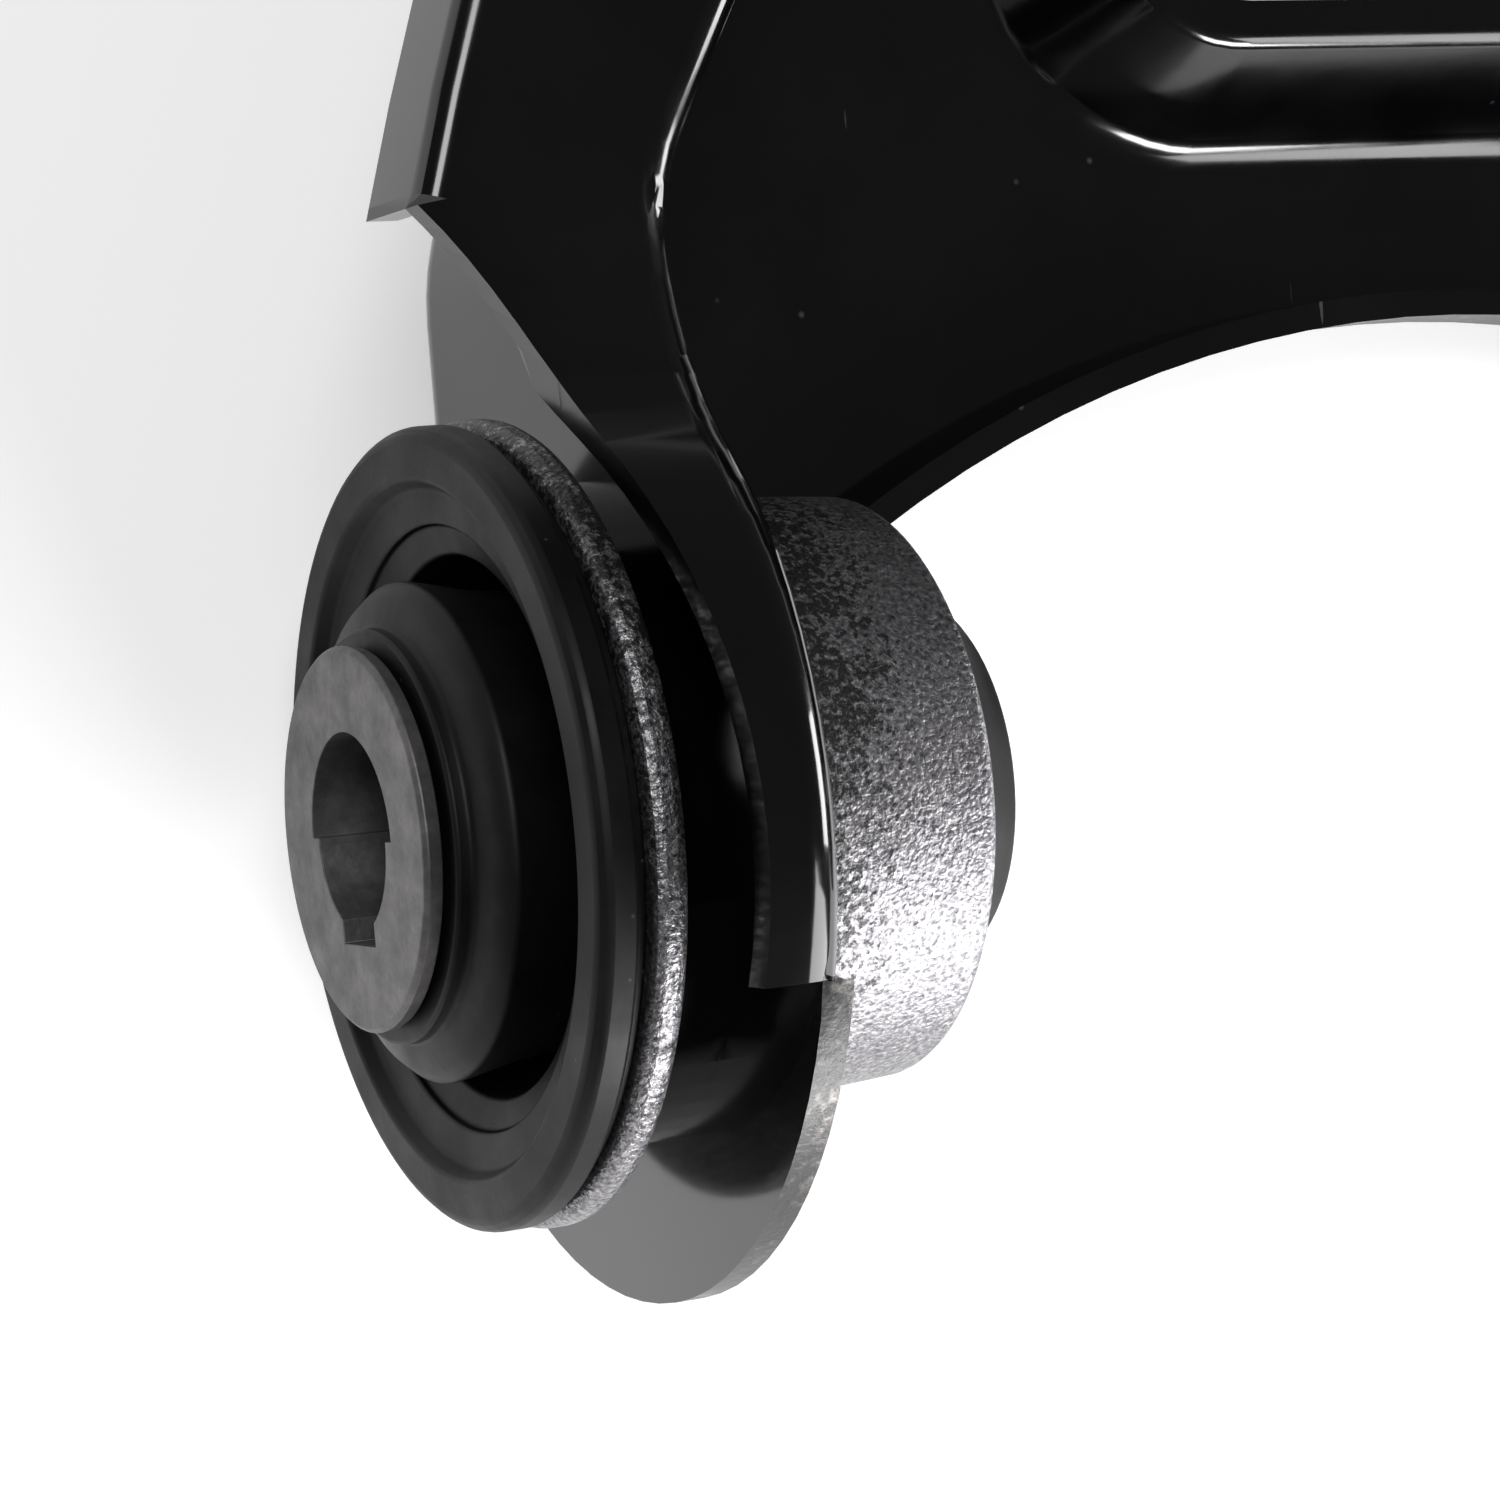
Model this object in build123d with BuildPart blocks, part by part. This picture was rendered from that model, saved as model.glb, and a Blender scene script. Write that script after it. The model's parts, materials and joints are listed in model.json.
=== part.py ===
from build123d import *
import math
import os

# Pressed steel control arm, A-shaped, with two bonded bushes and a bolted ball joint.
# Origin: centre of the front bush. X runs along the bush axis to the rear bush,
# Y runs towards the ball joint, Z is up, out of the open side of the pressing.

os.makedirs("parts", exist_ok=True)

# ---- driving sizes, millimetres ----
bush_spacing = 203.0        # front bush centre to rear bush centre
ball_y = 165.0              # bush axis to ball joint axis
sheet = 2.6                 # steel sheet thickness
web_low = -33.0             # underside of the pressing's floor
wall_top = 19.5             # top of the outer brim
bend_r = 6.0                # outside radius where the floor turns up

ear_face = -5.6             # outer face of the ear
ear_r = 41.0                # radius of the ear's round rim
foot_land = 5.0             # the arch's lip starts this far above the foot of the ear
ear_root = 1.5              # strip of floor left along the foot of the ear
knee_y = 50.0               # where the outer wall turns in towards the ball joint
knee_r = 26.0
boss_r = 40.0               # outer wall round the ball joint
notch_y = -12.0             # the ear's rolled rim starts here
rim_roll = 5.0              # how far the rolled rim stands out beside the bush
shoulder_x = -25.0          # widest corner of the brim
shoulder_y = 49.0
shoulder_dir = 74.0         # direction of the brim's edge at that corner, degrees
boss_brim = 6.0             # brim width round the ball joint
return_depth = 11.0         # turned-down edge of the brim
arch_top = 39.5             # inner edge of the cross bar
arch_r = 128.0
lip_height = 8.0            # upturned lip along the arch
lip_gap = 1.2               # between that lip and a bush above it

window_low = 70.0           # window between the legs
window_high = 116.0
window_half_low = 43.0
window_half_high = 16.0
window_corner = 11.0
brim_bend = 4.0             # radius where the wall turns out into the brim
rim_bend = 2.5              # top of the window rim
crease_bend = 4.0           # where the window rim rises from the floor
rim_rise = 13.0             # height of the raised rim round the window
rim_slope = 9.0             # plan width of its sloping side
rim_flat = 4.0              # flat lip of the rim

collar_wall = 1.4           # drawn collar that holds the outer sleeve
outer_r = 26.3              # outer sleeve where it is pressed into the ear
outer_taper = 1.3           # how much less its radius is at the inboard end
outer_wall = 1.8
outer_end = 18.8            # inboard end of the outer sleeve
flange_r = 33.4
flange_front = -16.0
flange_thick = 3.0
press_gap = 0.02            # clearance left between pressed or bonded pieces
turn_gap = 0.05             # running clearance, rubber bore to inner sleeve

thrust_r = 33.1             # rubber thrust ring
thrust_front = -20.5
thrust_inner_r = 28.3
void_outer_r = 25.0
void_bottom = -6.0
hub_r = 20.7
hub_front = -22.5
neck_r = 17.0
neck_front = -25.3
hub_back_r = 15.6
hub_back = 25.9
sleeve_half = 27.5          # half the length of the inner sleeve
sleeve_r = 12.0
flare_r = 15.8
flare_thick = 2.0
bolt_bore_r = 7.5
key_r = 8.8
key_depth = 11.0
key_notch = 7.0
key_notch_r = 8.6

flange_round = 0.6          # broken edges of the cast sleeve

ball_r = 12.5
ball_z = -18.5              # height of the ball's centre
housing_bore_r = 15.0
housing_wall = 3.5
hole_gap = 0.3              # housing to the holes it drops through
seat_low = -10.9            # bearing seat, from the ball's centre
seat_high = 7.0
cap_t = 2.4
dish_r = 5.0                # dished middle of the closing cap
dish_gap = 0.3
mouth_r = 12.2              # opening that the stud swings in
housing_top = 11.0
groove_low = 6.5            # groove for the boot
groove_high = 9.5
groove_depth = 1.6
doubler_r = 34.0
doubler_t = 2.6
flange_plate_t = 4.0
plate_root = 0.8            # chamfer where the flange meets the housing
bolt_count = 4
bolt_start = 45.0
bolt_circle_r = 26.5
bolt_r = 4.0
bolt_hole_r = 4.3
hex_flat = 13.0
head_height = 5.3
nut_height = 6.5
washer_t = 1.6
washer_r = 7.0
stud_neck_r = 6.0
taper_low = 29.0            # heights on the stud, above the ball's centre
taper_high = 45.0
stud_top = 68.0
taper_r = 8.2
taper_end_r = 7.1
thread_r = 6.0
nut_low = 51.0
castle_height = 12.0
castle_flat = 18.0
castle_slot = 3.2
slot_depth = 4.5
cotter_height = 60.5
cotter_r = 1.2
cotter_gap = 0.2
pin_head = 9.6
pin_tail = 12.0
boot_wall = 1.8
boot_bulge = 23.0
bulge_low = 3.5             # the bulge's widest band, above the boot's groove
bulge_high = 5.5
boot_neck_low = 23.5
boot_neck_high = 28.5
neck_ring_gap = 0.3
clip_wire = 1.1

# ---- values that follow from them ----
mid_x = bush_spacing / 2
web_top = web_low + sheet
ear_back = ear_face + sheet
flange_back = flange_front + flange_thick
outer_end_r = outer_r - outer_taper
outer_bore_r = outer_end_r - outer_wall
collar_r = outer_r + collar_wall
ear_foot_y = -math.sqrt(ear_r**2 - web_low**2)
mid_plane = Plane.YZ.offset(mid_x)
housing_r = housing_bore_r + housing_wall
groove_r = housing_r - groove_depth
boot_neck_r = taper_r + turn_gap

# the leg's straight wall runs from the knee to a tangent point on the boss
knee_angle = math.atan2(ball_y - knee_y, mid_x - ear_face)
knee_span = math.hypot(mid_x - ear_face, ball_y - knee_y)
leg_angle = knee_angle + math.asin(boss_r / knee_span)
boss_touch = (mid_x - boss_r * math.sin(leg_angle), ball_y + boss_r * math.cos(leg_angle))

# the brim's outer edge is one arc that meets the boss brim tangentially
brim_r = boss_r + boss_brim
edge_dir = math.radians(shoulder_dir)
edge_normal = (math.sin(edge_dir), -math.cos(edge_dir))
to_shoulder = (shoulder_x - mid_x, shoulder_y - ball_y)
edge_reach = to_shoulder[0] * edge_normal[0] + to_shoulder[1] * edge_normal[1]
edge_gap = to_shoulder[0] ** 2 + to_shoulder[1] ** 2
edge_arc_r = (brim_r**2 - edge_gap) / (2 * (edge_reach + brim_r))
edge_centre = (shoulder_x + edge_arc_r * edge_normal[0], shoulder_y + edge_arc_r * edge_normal[1])
edge_end_dir = math.atan2(ball_y - edge_centre[1], mid_x - edge_centre[0])


def mirrored(point):
    """The same plan point on the other leg."""
    return (2 * mid_x - point[0], point[1])


def brim_touch(radius):
    """Where the brim's outer arc meets the boss brim of this radius."""
    return (mid_x + radius * math.cos(edge_end_dir), ball_y + radius * math.sin(edge_end_dir))


# ================= pressed arm =================
skirt_y = -2 * ear_r        # the wall outlines run past the ears and are trimmed to them


def wall_outline(inset):
    """Plan of the space inside the outer wall, a given distance in from its outer face."""
    with BuildSketch() as outline:
        with BuildLine():
            wall_x = ear_face + inset
            reach = boss_r - inset
            touch = (mid_x - reach * math.sin(leg_angle), ball_y + reach * math.cos(leg_angle))
            knee_in = inset * math.tan((math.pi / 2 - leg_angle) / 2)
            knee = (wall_x, knee_y - knee_in)
            Polyline((wall_x, skirt_y), knee, touch)
            ThreePointArc(touch, (mid_x, ball_y + reach), mirrored(touch))
            Polyline(mirrored(touch), mirrored(knee), mirrored((wall_x, skirt_y)), (wall_x, skirt_y))
        make_face()
        knees = outline.vertices().filter_by(lambda v: abs(v.Y - knee[1]) < 0.01)
        fillet(knees, knee_r - inset)
    return outline.sketch


def window_outline(margin):
    """Plan of the window between the legs, grown by a margin."""
    with BuildSketch() as outline:
        with BuildLine():
            Polyline(
                (mid_x - window_half_low, window_low),
                (mid_x + window_half_low, window_low),
                (mid_x + window_half_high, window_high),
                (mid_x - window_half_high, window_high),
                close=True,
            )
        make_face()
        fillet(outline.vertices(), window_corner)
        if margin > 0:
            offset(amount=margin, kind=Kind.ARC)
    return outline.sketch


def leg_edge(inset):
    """Plan of the legs above their widest corners, a given distance in from the brim's outer edge."""
    arc_r = edge_arc_r - inset
    corner = (edge_centre[0] - math.sqrt(arc_r**2 - (shoulder_y - edge_centre[1]) ** 2), shoulder_y)
    start_dir = math.atan2(corner[1] - edge_centre[1], corner[0] - edge_centre[0]) % (2 * math.pi)
    middle_dir = (start_dir + edge_end_dir) / 2
    middle = (edge_centre[0] + arc_r * math.cos(middle_dir), edge_centre[1] + arc_r * math.sin(middle_dir))
    touch = brim_touch(brim_r - inset)
    with BuildSketch() as outline:
        with BuildLine():
            ThreePointArc(corner, middle, touch)
            ThreePointArc(touch, (mid_x, ball_y + brim_r - inset), mirrored(touch))
            ThreePointArc(mirrored(touch), mirrored(middle), mirrored(corner))
            Line(corner, mirrored(corner))
        make_face()
    return outline.sketch


def along(outline, height):
    """Picks a part's edges that follow a plan outline at one height."""
    return lambda edge: (
        abs((edge @ 0.5).Z - height) < 0.1
        and min(line.distance_to(Vertex((edge @ 0.5).X, (edge @ 0.5).Y, 0)) for line in outline.edges()) < 0.6
    )


# outline of the brim seen from above: it narrows from the legs' shoulders to the rolled rim of the ears
with BuildSketch() as brim_plan:
    add(leg_edge(0))
    with BuildLine():
        corner = (shoulder_x, shoulder_y)
        rim_start = (ear_face - rim_roll, notch_y)
        narrowing = [corner, (-19.2, 41), (-14.2, 27), (-11.6, 15), rim_start]
        Spline(*narrowing)
        Spline(*[mirrored(point) for point in narrowing])
        Line(corner, mirrored(corner))
        Line(rim_start, mirrored(rim_start))
    make_face()

# side view of the pressing: round ears, then a level top edge
with BuildSketch(Plane.YZ) as side_view:
    Circle(ear_r)
    with Locations((0, -2 * ear_r)):
        Rectangle(2 * ball_y, wall_top + 2 * ear_r, align=(Align.MIN, Align.MIN))

# what lies one sheet thickness below that edge
with BuildSketch(Plane.YZ) as side_view_inside:
    Circle(ear_r - sheet)
    with Locations((0, -2 * ear_r)):
        Rectangle(2 * ball_y, wall_top - sheet + 2 * ear_r, align=(Align.MIN, Align.MIN))

with BuildPart() as hollow:
    with BuildSketch(Plane.XY.offset(web_top)):
        add(wall_outline(sheet))
    extrude(amount=3 * ear_r)
    floor_edges = hollow.faces().sort_by(Axis.Z)[0].edges().filter_by(lambda e: e.center().Y > skirt_y + 1)
    fillet(floor_edges, bend_r - sheet)

with BuildPart() as arch:
    with BuildSketch(Plane.XY.offset(2 * web_low)):
        with Locations((mid_x, arch_top - arch_r)):
            Circle(arch_r)
        with Locations((mid_x, 0)):
            Rectangle(bush_spacing - 2 * (ear_back + ear_root), 4 * arch_r, mode=Mode.INTERSECT)
    extrude(amount=6 * ear_r)

with BuildPart() as arch_lip:
    with BuildSketch(Plane.XY.offset(web_low + sheet / 2)):
        with Locations((mid_x, arch_top - arch_r)):
            Circle(arch_r + sheet)
        with Locations((mid_x, ear_foot_y + foot_land)):
            lip_width = bush_spacing - ear_back - ear_face
            Rectangle(lip_width, 4 * arch_r, align=(Align.CENTER, Align.MIN), mode=Mode.INTERSECT)
    extrude(amount=lip_height - sheet / 2)
    # it dips under the bushes
    with BuildSketch(Plane.YZ.offset(-2 * ear_r)):
        Circle(outer_r + lip_gap)
    extrude(amount=bush_spacing + 4 * ear_r, mode=Mode.SUBTRACT)

with BuildPart() as brim:
    with BuildSketch(Plane.XY.offset(web_low)):
        add(brim_plan.sketch)
    extrude(amount=3 * ear_r)
    with BuildSketch(Plane.YZ.offset(-2 * ear_r)):
        add(side_view.sketch_local)
        add(side_view_inside.sketch_local, mode=Mode.SUBTRACT)
        with Locations((notch_y, 0)):
            Rectangle(3 * ball_y, 2 * ear_r, align=(Align.MIN, Align.MIN), mode=Mode.INTERSECT)
    extrude(amount=bush_spacing + 4 * ear_r, mode=Mode.INTERSECT)
    add(hollow.part, mode=Mode.SUBTRACT)

with BuildPart() as return_flange:
    with BuildSketch(Plane.XY.offset(wall_top - return_depth)):
        add(leg_edge(0))
        add(leg_edge(sheet), mode=Mode.SUBTRACT)
    extrude(amount=return_depth)

rim_angle = math.degrees(math.atan2(rim_slope, rim_rise))
rim_top = web_top + rim_rise

with BuildPart() as window_rim:
    with BuildSketch(Plane.XY.offset(web_low)):
        add(window_outline(rim_flat + rim_slope * (rim_rise + sheet) / rim_rise))
    extrude(amount=rim_rise + sheet, taper=rim_angle)

with BuildPart() as window_void:
    with BuildSketch(Plane.XY.offset(web_low)):
        add(window_outline(rim_flat + rim_slope - sheet / 2))
    extrude(amount=rim_rise, taper=rim_angle)
    with BuildSketch(Plane.XY.offset(web_low)):
        add(window_outline(0))
    extrude(amount=2 * rim_rise)

with BuildPart() as pressed_arm:
    with BuildSketch(Plane.XY.offset(web_low)):
        add(wall_outline(0))
    extrude(amount=3 * ear_r)
    under = pressed_arm.faces().sort_by(Axis.Z)[0].edges()
    fillet(under.filter_by(lambda e: e.center().Y > skirt_y + 1), bend_r)
    add(hollow.part, mode=Mode.SUBTRACT)
    with BuildSketch(Plane.YZ.offset(-2 * ear_r)):
        add(side_view.sketch_local)
    extrude(amount=bush_spacing + 4 * ear_r, mode=Mode.INTERSECT)
    add(arch_lip.part)
    add(arch.part, mode=Mode.SUBTRACT)
    add(brim.part)
    fillet(pressed_arm.edges().filter_by(along(wall_outline(sheet), wall_top)), brim_bend)
    add(return_flange.part)
    add(window_rim.part)
    add(window_void.part, mode=Mode.SUBTRACT)
    fillet(pressed_arm.edges().filter_by(along(window_outline(rim_flat), rim_top)), rim_bend)
    fillet(pressed_arm.edges().filter_by(along(window_outline(rim_flat + rim_slope), web_top)), crease_bend)
    # drawn collars that hold the bushes
    for collar_plane in (Plane.YZ.offset(flange_back), Plane.YZ.offset(bush_spacing - ear_back)):
        with BuildSketch(collar_plane):
            Circle(collar_r)
        extrude(amount=ear_back - flange_back)
    for collar_plane in (Plane.YZ.offset(flange_back), Plane.YZ.offset(bush_spacing - ear_back)):
        with BuildSketch(collar_plane):
            Circle(outer_r + press_gap)
        extrude(amount=ear_back - flange_back, mode=Mode.SUBTRACT)
    # seat of the ball joint: one large hole and four bolt holes
    with BuildSketch(Plane.XY.offset(web_low)):
        with Locations((mid_x, ball_y)):
            Circle(housing_r + hole_gap)
            with PolarLocations(bolt_circle_r, bolt_count, start_angle=bolt_start):
                Circle(bolt_hole_r)
    extrude(amount=sheet, mode=Mode.SUBTRACT)
pressed_arm.part.label = "pressed_arm"

# ================= front bush =================
with BuildPart() as front_outer_sleeve:
    with BuildSketch():
        with BuildLine():
            Polyline(
                (flange_front, outer_bore_r),
                (flange_front, flange_r - flange_round),
                (flange_front + flange_round, flange_r),
                (flange_back - flange_round, flange_r),
                (flange_back, flange_r - flange_round),
                (flange_back, outer_r),
                (ear_back, outer_r),
                (outer_end - flange_round, outer_end_r),
                (outer_end, outer_end_r - flange_round),
                (outer_end, outer_bore_r),
                close=True,
            )
        make_face()
    revolve(axis=Axis.X)
front_outer_sleeve.part.label = "front_outer_sleeve"

rubber_bore_r = sleeve_r + turn_gap
with BuildPart() as front_bush_rubber:
    with BuildSketch():
        with BuildLine():
            Polyline(
                (neck_front, rubber_bore_r),
                (neck_front, neck_r),
                (neck_front + 1.4, neck_r),
                (hub_front - 0.6, hub_r - 1.2),
                (hub_front + 0.8, hub_r),
                (flange_front, hub_r - 1.2),
                (void_bottom - 1, hub_r - 2.2),
                (void_bottom, hub_r - 1.2),
                (void_bottom, outer_bore_r - 1.6),
                (void_bottom - 1, outer_bore_r - 0.8),
                (flange_front - 1, outer_bore_r - 0.8),
                (thrust_front + 2.6, void_outer_r),
                (thrust_front + 1.9, void_outer_r),
                (thrust_front + 1.4, thrust_inner_r - 0.3),
                (thrust_front, thrust_inner_r + 0.5),
                (thrust_front, thrust_r - 0.9),
                (thrust_front + 0.9, thrust_r),
                (flange_front - 1.2, thrust_r),
                (flange_front - 1.2, thrust_r - 1.2),
                (flange_front, thrust_r - 1.2),
                (flange_front, outer_bore_r - press_gap),
                (outer_end, outer_bore_r - press_gap),
                (outer_end + 0.6, hub_r - 0.5),
                (hub_back - 2, hub_back_r + 1.2),
                (hub_back, hub_back_r),
                (hub_back, rubber_bore_r),
                close=True,
            )
        make_face()
    revolve(axis=Axis.X)
front_bush_rubber.part.label = "front_bush_rubber"

with BuildPart() as front_inner_sleeve:
    with BuildSketch():
        with BuildLine():
            Polyline(
                (-sleeve_half, 0),
                (-sleeve_half, flare_r - 0.4),
                (-sleeve_half + 0.4, flare_r),
                (-sleeve_half + flare_thick - 0.4, flare_r - 0.2),
                (neck_front - turn_gap, neck_r - 3),
                (neck_front - turn_gap, sleeve_r),
                (sleeve_half - 0.6, sleeve_r),
                (sleeve_half, sleeve_r - 0.6),
                (sleeve_half, 0),
                close=True,
            )
        make_face()
    revolve(axis=Axis.X)
    # bolt bore right through, with a keyed pocket at the flared mouth
    with BuildSketch(Plane.YZ.offset(-sleeve_half)):
        Circle(bolt_bore_r)
    extrude(amount=2 * sleeve_half, mode=Mode.SUBTRACT)
    with BuildSketch(Plane.YZ.offset(-sleeve_half)):
        Circle(key_r)
        with Locations((key_r / 2, 0)):
            Rectangle(key_r, 2 * key_r, mode=Mode.INTERSECT)
        with Locations((-key_notch_r / 2, 0)):
            Rectangle(key_notch_r, key_notch)
    extrude(amount=key_depth, mode=Mode.SUBTRACT)
front_inner_sleeve.part.label = "front_inner_sleeve"

# ================= rear bush: the same three pieces, facing the other way =================
with BuildPart() as rear_outer_sleeve:
    mirror(front_outer_sleeve.part, about=mid_plane)
rear_outer_sleeve.part.label = "rear_outer_sleeve"

with BuildPart() as rear_bush_rubber:
    mirror(front_bush_rubber.part, about=mid_plane)
rear_bush_rubber.part.label = "rear_bush_rubber"

with BuildPart() as rear_inner_sleeve:
    mirror(front_inner_sleeve.part, about=mid_plane)
rear_inner_sleeve.part.label = "rear_inner_sleeve"

# ================= ball joint =================
joint_plane = Plane(origin=(mid_x, ball_y, ball_z), x_dir=(1, 0, 0), z_dir=(0, -1, 0))
joint_axis = Axis((mid_x, ball_y, ball_z), (0, 0, 1))
web_rel = web_top - ball_z          # the web and plates, seen from the ball's centre
plate_low = web_rel + doubler_t
plate_high = plate_low + flange_plate_t
cap_low = seat_low - cap_t

with BuildPart() as apex_doubler:
    with BuildSketch(Plane.XY.offset(web_top)):
        with Locations((mid_x, ball_y)):
            Circle(doubler_r)
            Circle(housing_r + hole_gap, mode=Mode.SUBTRACT)
            with PolarLocations(bolt_circle_r, bolt_count, start_angle=bolt_start):
                Circle(bolt_hole_r, mode=Mode.SUBTRACT)
    extrude(amount=doubler_t)
apex_doubler.part.label = "apex_doubler"

with BuildPart() as ball_housing:
    with BuildSketch(joint_plane):
        with BuildLine():
            Polyline(
                (housing_bore_r, cap_low - 1.2),
                (housing_r, cap_low - 1.2),
                (housing_r, plate_low),
                (doubler_r, plate_low),
                (doubler_r, plate_high - 0.8),
                (doubler_r - 0.8, plate_high),
                (housing_r + plate_root, plate_high),
                (housing_r, plate_high + plate_root),
                (housing_r, groove_low),
                (groove_r, groove_low),
                (groove_r, groove_high),
                (housing_r - 0.6, groove_high),
                (housing_r - 0.6, housing_top),
                (mouth_r, housing_top),
                (mouth_r, seat_high),
                (housing_bore_r, seat_high),
                close=True,
            )
        make_face()
    revolve(axis=joint_axis)
    with BuildSketch(Plane.XY.offset(web_top)):
        with Locations((mid_x, ball_y)):
            with PolarLocations(bolt_circle_r, bolt_count, start_angle=bolt_start):
                Circle(bolt_hole_r)
    extrude(amount=doubler_t + flange_plate_t, mode=Mode.SUBTRACT)
ball_housing.part.label = "ball_housing"

with BuildPart() as bearing_seat:
    with BuildSketch(joint_plane):
        with Locations((0, seat_low)):
            Rectangle(housing_bore_r - press_gap, seat_high - seat_low, align=(Align.MIN, Align.MIN))
        Circle(ball_r + turn_gap, mode=Mode.SUBTRACT)
    revolve(axis=joint_axis)
bearing_seat.part.label = "bearing_seat"

with BuildPart() as housing_cap:
    with BuildSketch(joint_plane):
        with BuildLine():
            Polyline(
                (0, -ball_r - dish_gap),
                (0, -ball_r - dish_gap - cap_t),
                (dish_r, -ball_r - dish_gap - cap_t),
                (dish_r + cap_t, cap_low),
                (housing_bore_r - press_gap, cap_low),
                (housing_bore_r - press_gap, seat_low),
                (dish_r + cap_t, seat_low),
                (dish_r, -ball_r - dish_gap),
                close=True,
            )
        make_face()
    revolve(axis=joint_axis)
housing_cap.part.label = "housing_cap"

neck_start = math.sqrt(ball_r**2 - stud_neck_r**2)
with BuildPart() as ball_stud:
    with BuildSketch(joint_plane):
        Circle(ball_r)
        Rectangle(2 * ball_r, 2 * ball_r, align=(Align.MAX, Align.CENTER), mode=Mode.SUBTRACT)
        with BuildLine():
            Polyline(
                (0, 0),
                (stud_neck_r, neck_start),
                (stud_neck_r, taper_low - 5),
                (taper_r, taper_low - 2.5),
                (taper_r, taper_low),
                (taper_end_r, taper_high),
                (thread_r, taper_high),
                (thread_r, stud_top - 1),
                (thread_r - 1, stud_top),
                (0, stud_top),
                close=True,
            )
        make_face()
    revolve(axis=joint_axis)
    with BuildSketch(Plane(origin=(mid_x, ball_y, ball_z + cotter_height), z_dir=(1, 0, 0))):
        Circle(cotter_r + cotter_gap)
    extrude(amount=thread_r, both=True, mode=Mode.SUBTRACT)
ball_stud.part.label = "ball_stud"

# ================= dust boot and its rings =================
with BuildPart() as dust_boot:
    with BuildSketch(joint_plane):
        with BuildLine():
            Polyline(
                (groove_r + press_gap, groove_low + 0.1),
                (groove_r + boot_wall, groove_low + 0.1),
                (groove_r + boot_wall, groove_high - 1),
                (boot_bulge, groove_high + bulge_low),
                (boot_bulge, groove_high + bulge_high),
                (boot_neck_r + boot_wall + 1, boot_neck_low),
                (boot_neck_r + boot_wall, boot_neck_low + 0.8),
                (boot_neck_r + boot_wall, boot_neck_high),
                (boot_neck_r, boot_neck_high),
                (boot_neck_r, boot_neck_low - 0.6),
                (boot_bulge - boot_wall, groove_high + 4.8),
                (boot_bulge - boot_wall, groove_high + 4.2),
                (housing_r + 0.9, groove_high + 0.9),
                (housing_r + 0.2, groove_high - 0.1),
                (groove_r + press_gap, groove_high - 0.1),
                close=True,
            )
        make_face()
    revolve(axis=joint_axis)
dust_boot.part.label = "dust_boot"

with BuildPart() as boot_base_clip:
    with BuildSketch(joint_plane):
        with Locations((groove_r + boot_wall + press_gap, groove_low + 0.1)):
            Rectangle(clip_wire, groove_high - groove_low - 1.2, align=(Align.MIN, Align.MIN))
    revolve(axis=joint_axis)
boot_base_clip.part.label = "boot_base_clip"

with BuildPart() as boot_neck_ring:
    with BuildSketch(joint_plane):
        with Locations((boot_neck_r + boot_wall + neck_ring_gap + clip_wire, boot_neck_high - 1.4)):
            Circle(clip_wire)
    revolve(axis=joint_axis)
boot_neck_ring.part.label = "boot_neck_ring"

# ================= castle nut and cotter pin =================
with BuildPart() as castle_nut:
    with BuildSketch(Plane.XY.offset(ball_z + nut_low)):
        with Locations((mid_x, ball_y)):
            RegularPolygon(castle_flat / 2, 6, major_radius=False)
    extrude(amount=castle_height - slot_depth)
    with BuildSketch(Plane.XY.offset(ball_z + nut_low + castle_height - slot_depth)):
        with Locations((mid_x, ball_y)):
            Circle(castle_flat / 2 - 0.6)
    extrude(amount=slot_depth)
    with BuildSketch(Plane.XY.offset(ball_z + nut_low)):
        with Locations((mid_x, ball_y)):
            Circle(thread_r + turn_gap)
    extrude(amount=castle_height, mode=Mode.SUBTRACT)
    with BuildSketch(Plane.XY.offset(ball_z + nut_low + castle_height - slot_depth)):
        with Locations((mid_x, ball_y)):
            with PolarLocations(0, 3):
                Rectangle(2 * castle_flat, castle_slot)
    extrude(amount=slot_depth, mode=Mode.SUBTRACT)
castle_nut.part.label = "castle_nut"

pin_z = ball_z + cotter_height
with BuildPart() as cotter_pin:
    with BuildSketch(Plane(origin=(mid_x - pin_head, ball_y, pin_z), z_dir=(1, 0, 0))):
        Circle(cotter_r)
    extrude(amount=pin_head + pin_tail)
    with Locations(Location((mid_x - pin_head - 2 * cotter_r, ball_y, pin_z))):
        Torus(2 * cotter_r, cotter_r * 0.8)
cotter_pin.part.label = "cotter_pin"

# ================= fasteners between ball joint and arm =================
bolt_top = plate_high + ball_z + washer_t + nut_height + 2
with BuildPart() as mounting_bolts:
    with BuildSketch(Plane.XY.offset(web_low - head_height)):
        with Locations((mid_x, ball_y)):
            with PolarLocations(bolt_circle_r, bolt_count, start_angle=bolt_start):
                RegularPolygon(hex_flat / 2, 6, major_radius=False)
    extrude(amount=head_height)
    with BuildSketch(Plane.XY.offset(web_low)):
        with Locations((mid_x, ball_y)):
            with PolarLocations(bolt_circle_r, bolt_count, start_angle=bolt_start):
                Circle(bolt_r)
    extrude(amount=bolt_top - web_low)
mounting_bolts.part.label = "mounting_bolts"

with BuildPart() as lock_washers:
    with BuildSketch(Plane.XY.offset(plate_high + ball_z)):
        with Locations((mid_x, ball_y)):
            with PolarLocations(bolt_circle_r, bolt_count, start_angle=bolt_start):
                Circle(washer_r)
                Circle(bolt_hole_r, mode=Mode.SUBTRACT)
    extrude(amount=washer_t)
lock_washers.part.label = "lock_washers"

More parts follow.
